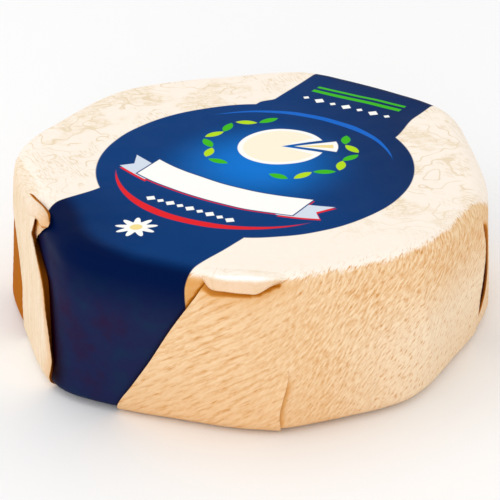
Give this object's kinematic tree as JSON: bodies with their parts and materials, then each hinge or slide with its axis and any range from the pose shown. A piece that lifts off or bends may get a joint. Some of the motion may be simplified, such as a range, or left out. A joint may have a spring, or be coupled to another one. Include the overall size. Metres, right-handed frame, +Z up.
{
  "type": "wrapped brie wheel",
  "caption": "Low wheel of soft cheese shut in pleated shop paper, eight-sided, with a round label and a band across the top.",
  "frame": {"origin": "centre of the base on the surface the pack lies on, under the middle of its box", "axes": "+Z up through the pack, +Y towards the far end of the label band, +X to the right of the band"},
  "size_m": [0.157, 0.1556, 0.054],
  "materials": {
    "wrapper_paper": "cream to tan printed waxed paper with a dark blue satin label field"
  },
  "bodies": {
    "root": {"wrapped_brie": "wrapper_paper"}
  },
  "joints": []
}
